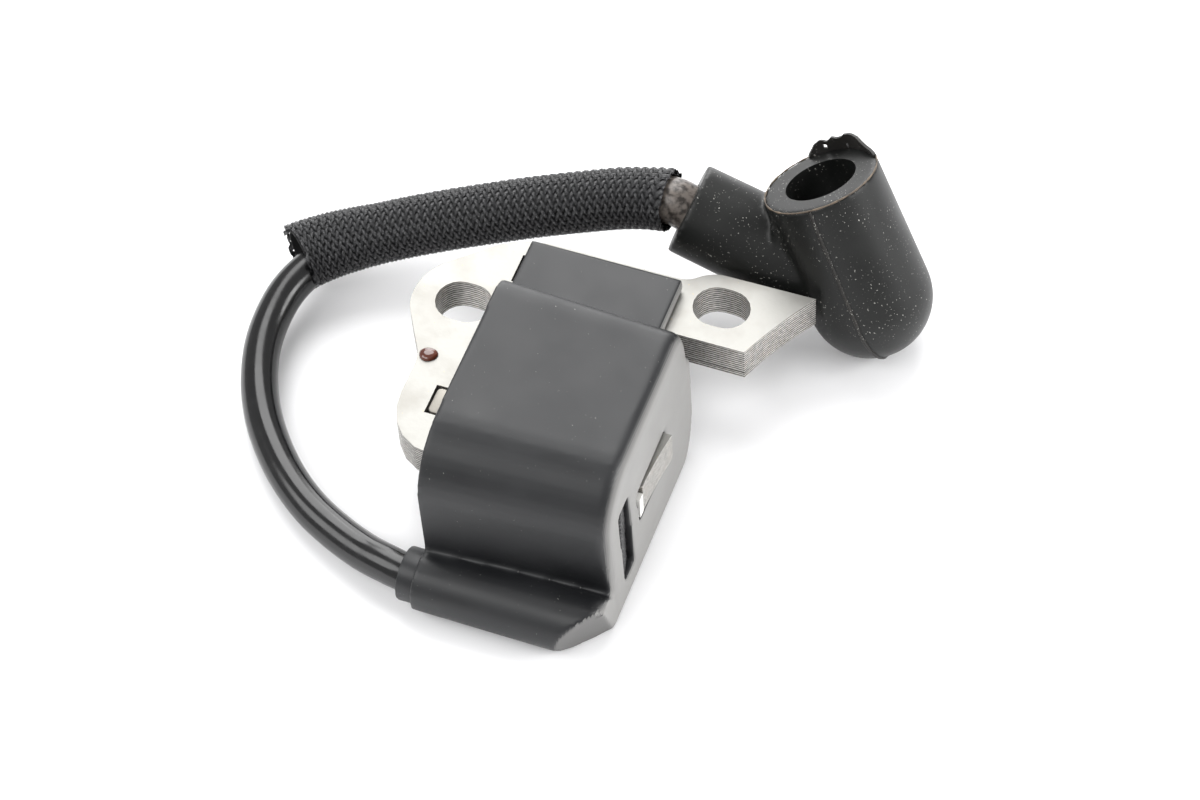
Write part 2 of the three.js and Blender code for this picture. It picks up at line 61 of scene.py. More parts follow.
# %% Camera
def place_camera(azimuth, elevation, roll, lens, place):
    """A camera at place, in mm, looking along the given angles."""
    a, e, r = (math.radians(x) for x in (azimuth, elevation, roll))
    right = Vector((math.cos(a), math.sin(a), 0))
    back = Vector((math.sin(a) * math.cos(e), -math.cos(a) * math.cos(e), math.sin(e)))
    up = back.cross(right)
    across = math.cos(r) * right - math.sin(r) * up
    upward = math.sin(r) * right + math.cos(r) * up
    data = bpy.data.cameras.new("camera")
    data.lens = lens
    data.sensor_width = 36
    camera = bpy.data.objects.new("camera", data)
    camera.matrix_world = Matrix.Translation(Vector(place) * MM) @ Matrix(
        (across, upward, back)
    ).transposed().to_4x4()
    bpy.context.scene.collection.objects.link(camera)
    bpy.context.scene.camera = camera
    return camera


camera = place_camera(23.68, 54.21, 4.03, 100.33, (120.15, -259.26, 415.07))
print("camera at", [round(x, 3) for x in camera.location])

# %% Table and lights
OBJECT_MIDDLE = Vector((0, 0, 0.01))


def deselect():
    """Leaves edit mode, with nothing selected."""
    if bpy.context.object and bpy.context.object.mode != "OBJECT":
        bpy.ops.object.mode_set(mode="OBJECT")
    bpy.ops.object.select_all(action="DESELECT")


def area_light(name, place, size, watts):
    """A soft white disk of light, size in metres, that faces the object."""
    data = bpy.data.lights.new(name, "AREA")
    data.shape = "DISK"
    data.size = size
    data.energy = watts
    light = bpy.data.objects.new(name, data)
    light.location = place
    away = Vector(place) - OBJECT_MIDDLE
    light.rotation_euler = away.to_track_quat("Z", "Y").to_euler()
    bpy.context.scene.collection.objects.link(light)


deselect()
bpy.ops.mesh.primitive_plane_add(size=4, location=(0, 0, 0))
table = bpy.context.object
table.name = "table"
area_light("key", (-0.22, 0.48, 0.72), 0.7, 6.5)
area_light("side", (0.75, 0.1, 0.42), 0.5, 5)
area_light("front", (-0.2, -0.5, 0.72), 0.5, 2.2)
area_light("back", (-0.3, 0.9, 0.3), 0.65, 4.5)
area_light("fill", (-0.6, -0.3, 0.6), 0.5, 2.5)
world = bpy.context.scene.world or bpy.data.worlds.new("world")
bpy.context.scene.world = world
world.use_nodes = True
background = world.node_tree.nodes["Background"].inputs
background["Color"].default_value = (1, 1, 1, 1)
background["Strength"].default_value = 0.6
bpy.context.scene.view_settings.view_transform = "Standard"

# %% [markdown]
# Each finish starts from what the real surface is. Patterns read Object coordinates,
# which are metres, so a pattern with features of a given size in millimetres has the
# scale 1000 divided by that size.

# %% Helpers for finishes
def linear(hex_colour):
    """An sRGB hex colour as the linear numbers that a shader works in."""
    parts = [int(hex_colour[i : i + 2], 16) / 255 for i in (1, 3, 5)]
    shades = [p / 12.92 if p <= 0.04045 else ((p + 0.055) / 1.055) ** 2.4 for p in parts]
    return (*shades, 1)


def per_mm(size):
    """The texture scale that gives features of that size in mm."""
    return 1000 / size


def add_node(tree, kind, inputs=None, **settings):
    """A node with its settings. Its inputs, by name or number, take a value or a socket."""
    made = tree.nodes.new(kind)
    for name, value in settings.items():
        setattr(made, name, value)
    for name, value in (inputs or {}).items():
        if isinstance(value, bpy.types.NodeSocket):
            tree.links.new(value, made.inputs[name])
        else:
            made.inputs[name].default_value = value
    return made


def start_finish(name, **shader_inputs):
    """A material with one Principled shader, its tree, and its Object coordinates."""
    finish = bpy.data.materials.new(name)
    finish.use_nodes = True
    tree = finish.node_tree
    shader = tree.nodes["Principled BSDF"]
    for key, value in shader_inputs.items():
        shader.inputs[key.replace("_", " ")].default_value = value
    place = add_node(tree, "ShaderNodeTexCoord").outputs["Object"]
    return finish, tree, shader, place


def noise(tree, place, size, detail=2.0, roughness=0.5):
    """Soft random grey from 0 to 1, with features of that size in mm."""
    inputs = {"Vector": place, "Scale": per_mm(size), "Detail": detail, "Roughness": roughness}
    return add_node(tree, "ShaderNodeTexNoise", inputs).outputs["Fac"]


def between(tree, value, low, high, out_low=0.0, out_high=1.0):
    """value stretched so that low to high becomes out_low to out_high."""
    inputs = {"Value": value, "From Min": low, "From Max": high,
              "To Min": out_low, "To Max": out_high}
    return add_node(tree, "ShaderNodeMapRange", inputs).outputs["Result"]


def blend_colours(tree, share, first, second):
    """first where share is 0, second where it is 1."""
    inputs = {0: share, 6: first, 7: second}
    return add_node(tree, "ShaderNodeMix", inputs, data_type="RGBA").outputs[2]


def bump(tree, shader, height, distance, strength):
    """A bump of that distance in mm."""
    inputs = {"Height": height, "Distance": distance * MM, "Strength": strength}
    made = add_node(tree, "ShaderNodeBump", inputs).outputs["Normal"]
    tree.links.new(made, shader.inputs["Normal"])


def base_colour(tree, shader, colour):
    tree.links.new(colour, shader.inputs["Base Color"])


def facing(tree, axis):
    """How far the flat face points along an axis, from -1 to 1."""
    normal = add_node(tree, "ShaderNodeNewGeometry").outputs["True Normal"]
    return add_node(tree, "ShaderNodeSeparateXYZ", {"Vector": normal}).outputs[axis]


def maths(tree, operation, *values):
    """One step of arithmetic on values or sockets."""
    made = add_node(tree, "ShaderNodeMath", dict(enumerate(values)), operation=operation)
    return made.outputs[0]


print("helpers ready")

# %% [markdown]
# ## Core sheets: bright stamped electrical steel
# The faces are rolled, with a matt finish that spreads the light.
# The cut edges are sheared: dull grey, streaked along the sheet, with a burr that
# has started to brown. The height inside one sheet comes from the Z coordinate.

# %% Sheet steel
core_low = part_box("core_lamination_01")[0].z
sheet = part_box("core_lamination_01")[1].z - core_low

steel, tree, shader, place = start_finish("electrical steel sheet", Metallic=1.0, Roughness=0.55)
xyz = add_node(tree, "ShaderNodeSeparateXYZ", {"Vector": place})
on_edge = between(tree, maths(tree, "ABSOLUTE", facing(tree, "Z")), 0.85, 0.6)
above = maths(tree, "SUBTRACT", xyz.outputs["Z"], core_low)
height = maths(tree, "FRACT", maths(tree, "DIVIDE", above, sheet))
off_middle = maths(tree, "ABSOLUTE", maths(tree, "SUBTRACT", height, 0.5))
seam = between(tree, off_middle, 0.22, 0.40)
squashed = {"Vector": place, "Scale": (1, 1, 7)}
stretched = add_node(tree, "ShaderNodeMapping", squashed).outputs[0]
streaks = noise(tree, stretched, 0.7, 4)
smudge = between(tree, noise(tree, place, 5, 3), 0.45, 0.75)
specks = between(tree, noise(tree, place, 0.5, 2), 0.74, 0.77)
face_colour = blend_colours(tree, smudge, linear("#A3A29E"), linear("#979590"))
face_colour = blend_colours(tree, specks, face_colour, linear("#B9A98C"))
streak_share = between(tree, streaks, 0.35, 0.65)
cut_colour = blend_colours(tree, streak_share, linear("#A19F9B"), linear("#F0EEE9"))
cut_colour = blend_colours(tree, seam, cut_colour, linear("#2C2926"))
burr = between(tree, height, 0.72, 0.95)
patches = between(tree, noise(tree, place, 1.6), 0.5, 0.62)
brown = maths(tree, "MULTIPLY", maths(tree, "MULTIPLY", burr, patches), 0.6)
cut_colour = blend_colours(tree, brown, cut_colour, linear("#7A5A33"))
base_colour(tree, shader, blend_colours(tree, on_edge, face_colour, cut_colour))
tree.links.new(between(tree, on_edge, 0, 1, 0.55, 0.45), shader.inputs["Roughness"])
bump(tree, shader, streaks, 0.04, 0.6)
print("sheet is", round(sheet / MM, 2), "mm thick")

# %% [markdown]
# ## Case: satin black moulded plastic
# The surface has broad soft highlights and a grain too fine to see. Handling has left
# dust. The flat right end, where the bobbin and the leg come through, shows paler than
# the rest, because it takes the low light from the right and reflects the white table.
# Faces that point along X, the end and the facet by the boss, are given a paler colour,
# which is painted light.

# %% Case plastic
def moulded(name, colour, lighter, roughness, grain, dust, gloss, lit_end_colour=None):
    """A moulded plastic or rubber: cloudy colour, fine grain in mm, and a share of dust.

    With a colour for the end, faces that point along X take that colour: painted light from the
    side.
    """
    finish, tree, shader, place = start_finish(
        name, Roughness=roughness, IOR=1.5, Specular_IOR_Level=gloss)
    cloud = noise(tree, place, 9, 3)
    cloud_share = between(tree, cloud, 0.35, 0.7)
    base = blend_colours(tree, cloud_share, linear(colour), linear(lighter))
    grit_starts = 0.80 - 0.1 * dust
    grit = between(tree, noise(tree, place, 0.28, 1), grit_starts, grit_starts + 0.02)
    where = between(tree, noise(tree, place, 6, 2), 0.4, 0.6)
    dusty = maths(tree, "MULTIPLY", maths(tree, "MULTIPLY", grit, where), 0.75)
    base = blend_colours(tree, dusty, base, linear("#B9B8B2"))
    if lit_end_colour:
        # painted light: faces that point along X are blended towards the pale end colour
        painted_end_light = between(tree, facing(tree, "X"), 0.55, 0.98)
        base = blend_colours(tree, painted_end_light, base, linear(lit_end_colour))
    base_colour(tree, shader, base)
    shine = between(tree, cloud, 0.3, 0.7, roughness - 0.04, roughness + 0.06)
    tree.links.new(shine, shader.inputs["Roughness"])
    bump(tree, shader, noise(tree, place, grain, 3), 0.012, 0.5)
    return finish


# the last colour, pale grey, is painted light on the end of the case
case_plastic = moulded(
    "satin moulded case plastic", "#17181A", "#1D1E20", 0.44, 0.15, 0.2, 0.46, "#8A8987")
boot_rubber = moulded("dusty moulded rubber", "#0C0D0C", "#151615", 0.40, 0.3, 0.9, 0.36)
dusty_rubber = moulded("dusty moulding flash", "#171615", "#282623", 0.5, 0.3, 1.5, 0.4)
collar_plastic = moulded("scuffed collar plastic", "#1C1D1F", "#2E2F31", 0.42, 0.5, 0.3, 0.4)
print("moulded finishes ready")

# %% Other finishes
def plain(name, colour, lighter, roughness, metallic=0.0, grain=0.5, depth=0.01,
          size=3.0, **more):
    """A finish with cloudy colour and a grain: size, grain and depth in mm."""
    finish, tree, shader, place = start_finish(
        name, Roughness=roughness, Metallic=metallic, **more)
    cloud = between(tree, noise(tree, place, size, 3), 0.35, 0.65)
    base_colour(tree, shader, blend_colours(tree, cloud, linear(colour), linear(lighter)))
    bump(tree, shader, noise(tree, place, grain, 4), depth, 0.7)
    return finish


rivet_steel = plain("dull pin steel", "#85827C", "#98948D", 0.55, 1.0, 0.6, 0.03)
lacquer = plain("locking lacquer", "#4A1F12", "#65301C", 0.12, 0.0, 1.2, 0.03, Coat_Weight=0.6)
resin = plain("rough potting resin", "#0F0F10", "#1E1E20", 0.34, 0.0, 0.5, 0.35, 1.0)
white_plastic = plain("white bobbin plastic", "#E9E8E3", "#F4F3EF", 0.45)
amber_plastic = plain("natural bobbin plastic", "#B9A98A", "#C8B998", 0.5)
brass = plain("turned brass", "#B8964A", "#C9A95C", 0.32, 1.0)
spring_steel = plain("bright spring wire", "#B5B5B3", "#C8C8C6", 0.28, 1.0)
board = plain("circuit board", "#1F4A34", "#2A5A40", 0.45)
capacitor = plain("dipped capacitor film", "#7C3018", "#95401F", 0.3)
# a black sheet under the braid: painted shade, so the gaps between the yarns read dark
gap_shade_film = plain("black painted gap shade", "#0A0A0B", "#101011", 0.6)
rim_flash = plain("dusty rubber flash", "#3A322A", "#6A5C4C", 0.6, size=1.5)
chip = plain("black epoxy package", "#161617", "#1F1F20", 0.5)
resistor_coat = plain("coated resistor", "#34425F", "#40507A", 0.4)

copper, tree, shader, place = start_finish(
    "enamelled copper wire", Metallic=1.0, Roughness=0.28)
# real wire this thin would not show, so the turns are drawn 0.8 mm apart. A wave
# texture repeats every pi / 10 of its scale
wave = {"Vector": place, "Scale": per_mm(0.8) * math.pi / 10}
turns = add_node(tree, "ShaderNodeTexWave", wave, bands_direction="X")
cloud = noise(tree, place, 3)
base_colour(tree, shader, blend_colours(tree, cloud, linear("#8F4A1F"), linear("#B8692F")))
bump(tree, shader, turns.outputs["Fac"], 0.1, 0.8)

lead_rubber, tree, shader, place = start_finish("glossy lead insulation", Roughness=0.24, IOR=1.5)
cloud = noise(tree, place, 4, 3)
base_colour(tree, shader, blend_colours(tree, cloud, linear("#0B0B0C"), linear("#151516")))
shine = between(tree, noise(tree, place, 2.5, 3), 0.3, 0.7, 0.13, 0.24)
tree.links.new(shine, shader.inputs["Roughness"])
bump(tree, shader, noise(tree, place, 1.5, 3), 0.02, 0.4)

milky, tree, shader, place = start_finish(
    "milky translucent tube", Roughness=0.28, IOR=1.42, Transmission_Weight=0.55)
cloud = noise(tree, place, 2, 3)
grime = between(tree, noise(tree, place, 0.9, 4), 0.42, 0.62)
tube_colour = blend_colours(tree, cloud, linear("#A79E97"), linear("#8D837B"))
base_colour(tree, shader, blend_colours(tree, grime, tube_colour, linear("#4A4440")))

braid_yarn, tree, shader, place = start_finish("black braided yarn", Roughness=0.23, IOR=1.53)
along = add_node(tree, "ShaderNodeUVMap").outputs["UV"]
across_yarn = add_node(tree, "ShaderNodeSeparateXYZ", {"Vector": along}).outputs["X"]
# a yarn lies flat: six filaments side by side
filaments = maths(tree, "SINE", maths(tree, "MULTIPLY", across_yarn, 6 * 2 * math.pi))
cloud = noise(tree, place, 1.5, 3)
base_colour(tree, shader, blend_colours(tree, cloud, linear("#1B1B1C"), linear("#333335")))
bump(tree, shader, filaments, 0.05, 0.6)

table_top, tree, shader, place = start_finish("white table top", Roughness=0.9)
cloud = noise(tree, place, 60, 2)
base_colour(tree, shader, blend_colours(tree, cloud, linear("#F6F6F7"), linear("#FAFAFB")))
table.data.materials.append(table_top)
print("finishes", len(bpy.data.materials))

# %% [markdown]
# Every CAD node that stays in view, or inside the case, takes its real finish.

# %% Finish the carried-over nodes
finish_of = {
    "primary_bobbin": white_plastic,
    "secondary_bobbin": amber_plastic,
    "primary_winding": copper,
    "trigger_board": board,
    "storage_capacitor": capacitor,
    "thyristor": chip,
    "rectifier_diode": chip,
    "gate_resistor": resistor_coat,
    "ht_terminal": brass,
    "lead_spike": spring_steel,
}
for i in range(1, 6):
    finish_of[f"secondary_winding_{i}"] = copper


def dress(piece, finish):
    piece.data.materials.clear()
    piece.data.materials.append(finish)


for node, finish in finish_of.items():
    dress(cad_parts[node], finish)
print("dressed", len(finish_of), "nodes")

# %% [markdown]
# ## Core
# Twelve stamped sheets lie on each other. Stamping rolls the edge over on one side
# and leaves a burr on the other, so the stack shows its seams as fine dark lines.
# Each sheet is a merged copy of its CAD node with a small bevel, which makes a real
# groove at every seam. Near the pole tip the outer sheets have sprung apart a little.

# %% Sheets
def activate(piece):
    deselect()
    piece.select_set(True)
    bpy.context.view_layer.objects.active = piece


def add_piece(name, data):
    piece = bpy.data.objects.new(name, data)
    bpy.context.scene.collection.objects.link(piece)
    return piece


def mesh_piece(name, points, faces, edges=()):
    """A new mesh piece from points in metres."""
    mesh = bpy.data.meshes.new(name)
    mesh.from_pydata([tuple(p) for p in points], edges, faces)
    return add_piece(name, mesh)


def face_outwards(piece):
    activate(piece)
    bpy.ops.object.mode_set(mode="EDIT")
    bpy.ops.mesh.select_all(action="SELECT")
    bpy.ops.mesh.normals_make_consistent(inside=False)
    bpy.ops.object.mode_set(mode="OBJECT")


def round_bar(name, points, radius, resolution):
    """A curve with a round section along points, and its spline; all in metres."""
    curve = bpy.data.curves.new(name, "CURVE")
    curve.dimensions = "3D"
    curve.bevel_depth = radius
    curve.bevel_resolution = resolution
    curve.use_fill_caps = True
    spline = curve.splines.new("POLY")
    spline.points.add(len(points) - 1)
    for point, place in zip(spline.points, points):
        point.co = (*place, 1)
    spline.use_smooth = True
    return add_piece(name, curve), spline


def merged_copy(node, name, flat=0.4):
    """A copy of a CAD node, with loose triangles joined and flat faces made whole.

    Faces that meet at less than flat, in degrees, count as one.
    """
    piece = add_piece(name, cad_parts[node].data.copy())
    activate(piece)
    bpy.ops.mesh.customdata_custom_splitnormals_clear()
    bpy.ops.object.mode_set(mode="EDIT")
    bpy.ops.mesh.select_all(action="SELECT")
    bpy.ops.mesh.remove_doubles(threshold=2e-6)
    bpy.ops.mesh.dissolve_limited(angle_limit=math.radians(flat))
    bpy.ops.mesh.select_all(action="DESELECT")
    bpy.ops.object.mode_set(mode="OBJECT")
    return piece


def modify(piece, kind, **settings):
    """Adds a modifier with its settings and applies it."""
    activate(piece)
    made = piece.modifiers.new(kind, kind)
    for name, value in settings.items():
        setattr(made, name, value)
    bpy.ops.object.modifier_apply(modifier=made.name)


def bevelled(piece, width, segments=2):
    """Bevels the piece's sharp edges by width, in mm, and smooths its shading."""
    modify(piece, "BEVEL", width=width * MM, segments=segments, limit_method="ANGLE",
           angle_limit=math.radians(40), use_clamp_overlap=True)
    activate(piece)
    bpy.ops.object.shade_smooth_by_angle(angle=math.radians(28))


def spring_apart(piece, corner, reach, lift):
    """Bends the sheet by lift, in mm, near a corner of its outline."""
    for v in piece.data.vertices:
        distance = math.hypot(v.co.x / MM - corner[0], v.co.y / MM - corner[1])
        share = max(0.0, 1 - distance / reach)
        v.co.z += lift * MM * share * share


tip = (29, 31.5)
front_corner = (22, 18.8)
for i in range(1, 13):
    node = f"core_lamination_{i:02d}"
    made = merged_copy(node, f"core_sheet_{i:02d}")
    bevelled(made, 0.05, 1)
    if i >= 11:
        spring_apart(made, tip, 9, 0.1 * (i - 10))
    if i <= 2:
        spring_apart(made, front_corner, 5, -0.25)
    dress(made, steel)
    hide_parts(node)
    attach(made, "coil")
print("sheets 12, faces each", len(made.data.polygons))

# %% Rivet pins
for node in ("core_rivet_front", "core_rivet_back"):
    pin = merged_copy(node, node + "_pin")
    bevelled(pin, 0.2)
    dress(pin, rivet_steel)
    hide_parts(node)
    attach(pin, "coil")
print("pins 2")

# %% [markdown]
# The lacquer drop was dabbed on wet: a flat bead with a steep rim. A sphere is
# squashed to it, and its outline pulled a little out of round.

# %% Lacquer drop
low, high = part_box("varnish_drop")
deselect()
bpy.ops.mesh.primitive_uv_sphere_add(segments=28, ring_count=14, radius=1, location=(0, 0, 0))
drop = bpy.context.object
drop.name = "lacquer_drop"
for v in drop.data.vertices:
    turn = math.atan2(v.co.y, v.co.x)
    wobble = 1 + 0.05 * math.sin(2 * turn + 0.6) + 0.03 * math.sin(3 * turn)
    top = max(v.co.z, 0) ** 0.8
    v.co = Vector((
        (low.x + high.x) / 2 + v.co.x * wobble * (high.x - low.x) / 2,
        (low.y + high.y) / 2 + v.co.y * wobble * (high.y - low.y) / 2.2,
        low.z + top * (high.z - low.z) + min(v.co.z, 0) * 0.05 * MM,
    ))
activate(drop)
bpy.ops.object.shade_smooth()
dress(drop, lacquer)
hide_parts("varnish_drop")
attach(drop, "coil")
print("drop", round((high.x - low.x) / MM, 2), "mm wide")

# %% [markdown]
# ## Case
# One moulding: the tall coil case, the saddle over the core's back leg and the round
# boss for the lead. The shape is the CAD node's. What the moulding adds is a soft
# radius of nearly 2 mm round the right end, and a small one on every other edge. The
# first is a bevel, and a fine voxel remesh with some smoothing gives the second.

# %% Case moulding
def sharp_edges(piece, angle):
    """The edges where two faces meet at more than the angle, with their middles in mm."""
    mesh = piece.data
    faces_at = {}
    for face in mesh.polygons:
        for key in face.edge_keys:
            faces_at.setdefault(key, []).append(face.normal.copy())
    found = {}
    for edge in mesh.edges:
        normals = faces_at.get(edge.key, [])
        if len(normals) == 2 and normals[0].angle(normals[1], 0) > math.radians(angle):
            ends = [mesh.vertices[i].co for i in edge.vertices]
            found[edge.index] = (ends[0] + ends[1]) / 2 / MM
    return found


VOXEL = 0.42 * MM
END_RADIUS = 1.9 * MM
case = merged_copy("housing", "case_moulding", 0.8)
end_x = max(v.co.x for v in case.data.vertices) / MM
share = case.data.attributes.new("bevel_weight_edge", "FLOAT", "EDGE")
soft_edges = 0
for index, middle in sharp_edges(case, 30).items():
    in_recess = -17.6 < middle.y < -13.2 and middle.z < 21.2
    in_window = -13 < middle.y < 6 and middle.z < 19
    above_boss = middle.z > 9 and not in_recess and not in_window
    clear_of_saddle = middle.y < 10 or middle.z > 22
    if middle.x > end_x - 0.9 and above_boss and clear_of_saddle:
        share.data[index].value = 1.0
        soft_edges += 1
modify(case, "BEVEL", width=END_RADIUS, segments=5, limit_method="WEIGHT",
       use_clamp_overlap=False)
modify(case, "REMESH", mode="VOXEL", voxel_size=VOXEL)
modify(case, "SMOOTH", factor=0.5, iterations=4)
activate(case)
bpy.ops.object.shade_smooth()
dress(case, case_plastic)
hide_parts("housing")
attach(case, "coil")
print("case faces", len(case.data.polygons), "soft edges", soft_edges)

# %% Resin and collar
potting = merged_copy("potting_compound", "potting_resin", 0.8)
dress(potting, resin)
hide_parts("potting_compound")
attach(potting, "coil")

# the end recess was topped up by hand, so its floor is ribbed, lumpy and slopes inwards
deselect()
bpy.ops.mesh.primitive_grid_add(x_subdivisions=14, y_subdivisions=64, size=1)
fill = bpy.context.object
fill.name = "recess_resin"
rib_pitch, rib_depth, lumps = 0.95, 0.13, 0.12
for v in fill.data.vertices:
    share = v.co.x + 0.5
    level = 4.5 + 16.2 * (v.co.y + 0.5)
    rib = rib_depth * math.sin(2 * math.pi * level / rib_pitch) + random.uniform(-lumps, lumps)
    v.co = Vector((end_x - 0.55 - 0.9 * share + rib, -17.25 + 3.7 * share, level)) * MM
modify(fill, "SOLIDIFY", thickness=0.5 * MM, offset=-1)
modify(fill, "SUBSURF", levels=1)
activate(fill)
bpy.ops.object.shade_smooth()
dress(fill, resin)
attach(fill, "coil")

collar = merged_copy("cable_collar", "lead_collar")
bevelled(collar, 0.25)
dress(collar, collar_plastic)
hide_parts("cable_collar")
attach(collar, "coil")
print("resin", len(potting.data.polygons), "collar", len(collar.data.polygons))

# %% [markdown]
# ## High tension lead
# A stiff rubber-covered cable. It leaves the boss to the left, drops to the table,
# loops back behind the core and climbs into the boot's neck. The route is the CAD
# route, in metres, drawn as one smooth line through its points.

# %% Route
boss_y, boss_z = -26.65, 4.85
bulb = Vector((34.9, 40, 9.6)) * MM
neck_rise = math.radians(18.6)
neck_axis = Vector((-math.cos(neck_rise), 0, math.sin(neck_rise)))
neck_length = 30.8
route = [Vector(p) * MM for p in (
    (-2, boss_y, boss_z), (-8, boss_y, boss_z), (-14.6, boss_y, boss_z),
    (-18.2, -25.9, 4.5), (-22.2, -24.7, 3.8), (-27.4, -22.6, 3.3), (-32.9, -19.8, 3.1),
    (-37.9, -16.2, 3.1), (-42.4, -11.9, 3.2), (-46.4, -6.9, 3.5), (-49.5, -1.3, 4),
    (-51.4, 4.6, 4.8), (-51.9, 10.4, 5.6), (-51.2, 15.5, 6.4), (-48.9, 20.5, 7.2),
    (-44.9, 24.9, 8.2), (-39.3, 28.6, 9.4), (-32.6, 31.6, 10.8), (-25.4, 34.2, 12.5),
    (-18.2, 36.5, 14.3), (-10.7, 38.5, 16.2), (-4.6, 39.7, 18), (-0.5, 40, 19.2),
)]
in_neck = (neck_length + 2.2, neck_length, neck_length - 8, neck_length - 15, 10.5)
route += [bulb + neck_axis * d * MM for d in in_neck]


def smooth_line(points, per_span=8):
    """A line through all the points, with its pace set by the square root of their distances."""
    ends = [2 * points[0] - points[1], *points, 2 * points[-1] - points[-2]]
    line = []
    for p0, p1, p2, p3 in zip(ends, ends[1:], ends[2:], ends[3:]):
        d0, d1, d2 = ((b - a).length ** 0.5 for a, b in ((p0, p1), (p1, p2), (p2, p3)))
        m1 = ((p1 - p0) / d0 - (p2 - p0) / (d0 + d1) + (p2 - p1) / d1) * d1
        m2 = ((p2 - p1) / d1 - (p3 - p1) / (d1 + d2) + (p3 - p2) / d2) * d1
        for k in range(per_span):
            t = k / per_span
            line.append(p1 * (2 * t**3 - 3 * t**2 + 1) + m1 * (t**3 - 2 * t**2 + t)
                        + p2 * (3 * t**2 - 2 * t**3) + m2 * (t**3 - t**2))
    return line + [points[-1].copy()]


def line_length(line):
    return sum((b - a).length for a, b in zip(line, line[1:]))


lead_line = smooth_line(route)

# %% Lead
lead_radius = 2.9 * MM
lead, _ = round_bar("high_tension_lead", lead_line, lead_radius, 6)
dress(lead, lead_rubber)
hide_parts("ht_lead")
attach(lead, "coil")
print("lead diameter", round(2 * lead_radius / MM, 1), "mm")

# %% [markdown]
# ## Braided sleeve
# A sleeve of braided black yarn slips over the lead. Eighteen plump yarns run round it
# each way, and each passes over one and under one, so the crowns stand in rows that
# lean one way and then the other. Every yarn is a narrow ribbon with a crown, laid on
# a helix, and its distance from the line rises and falls as it goes over and under.
# The lead bends sharply where it enters, so the sleeve's open end stands off it to the
# outside of the bend and is spread a little.

# %% Frames along the lead
def part_of_line(line, start, end, step):
    """Points every step along the part of a line that lies between two lengths."""
    spans = [(b - a).length for a, b in zip(line, line[1:])]
    lengths = np.concatenate([[0], np.cumsum(spans)])
    at = np.linspace(start, end, max(2, int(round((end - start) / step)) + 1))
    places = np.array([tuple(p) for p in line])
    return [Vector([np.interp(d, lengths, places[:, k]) for k in range(3)]) for d in at]


def carried_frames(points):
    """At each point, two directions across the line, carried along without twist."""
    frames = []
    side = None
    for i, p in enumerate(points):
        heading = (points[min(i + 1, len(points) - 1)] - points[max(i - 1, 0)]).normalized()
        if side is None:
            side = heading.orthogonal().normalized()
        side = (side - heading * side.dot(heading)).normalized()
        frames.append((p, side, heading.cross(side)))
    return frames


def nearest_length(line, place):
    """The length along a line at its point nearest to a place."""
    best = min(range(len(line)), key=lambda i: (line[i] - place).length)
    return line_length(line[: best + 1])


neck_mouth = nearest_length(lead_line, bulb + neck_axis * neck_length * MM)
sleeve_start = nearest_length(lead_line, Vector((-50.2, 18.4, 6.9)) * MM)
sleeve_end = neck_mouth - 2.6 * MM
sleeve_length = sleeve_end - sleeve_start
loose_end = 18 * MM
stand_off = Vector((-1.5, 2.0, 1.1)) * MM
sleeve_line = part_of_line(lead_line, sleeve_start, sleeve_end, 0.17 * MM)
for k, p in enumerate(sleeve_line):
    gone = k * sleeve_length / (len(sleeve_line) - 1)
    p += stand_off * max(0.0, 1 - gone / loose_end) ** 2
print("sleeve", round(sleeve_length / MM, 1), "mm")

# %% Braid
yarns = 18
sleeve_radius = 4.32 * MM
crown = 0.33 * MM
weave = 0.2 * MM
yarn_width = 0.78 * MM
pitch = 24 * MM
frames = carried_frames(sleeve_line)
step_length = sleeve_length / (len(frames) - 1)
ribbon = [-1, -0.6, -0.2, 0.2, 0.6, 1]
plump = 1.5
mouth_spread, mouth_reach = 0.16, 14 * MM
neck_spread, neck_reach = 0.03, 4 * MM
verts, faces, uvs = [], [], []
for hand in (1, -1):
    for yarn in range(yarns):
        first = len(verts)
        fray = [random.uniform(-0.1, 0.4) * MM, random.uniform(0.0, 0.3) * MM]
        rows = 0
        for k, (p, side, up) in enumerate(frames):
            gone = k * step_length
            if gone < fray[0] or gone > sleeve_length - fray[1]:
                continue
            angle = 2 * math.pi * (yarn / yarns + hand * gone / pitch)
            # the two hands cross at every half of this count, and take turns on top
            crossing = 2 * yarns * gone / pitch
            over = hand * math.cos(math.pi * crossing)
            left = sleeve_length - gone
            spread = (1 + mouth_spread * max(0.0, 1 - gone / mouth_reach)
                      + neck_spread * max(0.0, 1 - left / neck_reach))
            for c in ribbon:
                turn = angle + c * yarn_width / 2 / sleeve_radius * plump
                lift = sleeve_radius * spread + weave * over + crown * (1 - c * c)
                verts.append(p + (side * math.cos(turn) + up * math.sin(turn)) * lift)
                uvs.append(((c + 1) / 2, gone / (2 * MM)))
            if rows:
                a = first + (rows - 1) * len(ribbon)
                for j in range(len(ribbon) - 1):
                    quad = (a + j, a + j + 1, a + j + 1 + len(ribbon), a + j + len(ribbon))
                    faces.append(quad if hand > 0 else quad[::-1])
            rows += 1
sleeve = mesh_piece("braided_yarn_sleeve", verts, faces)
layer = sleeve.data.uv_layers.new(name="yarn")
for loop in sleeve.data.loops:
    layer.data[loop.index].uv = uvs[loop.vertex_index]
sleeve.data.shade_smooth()
dress(sleeve, braid_yarn)
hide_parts("braided_sleeve")
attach(sleeve, "coil")
print("braid faces", len(faces), "yarn width", round(yarn_width / MM, 2), "mm")

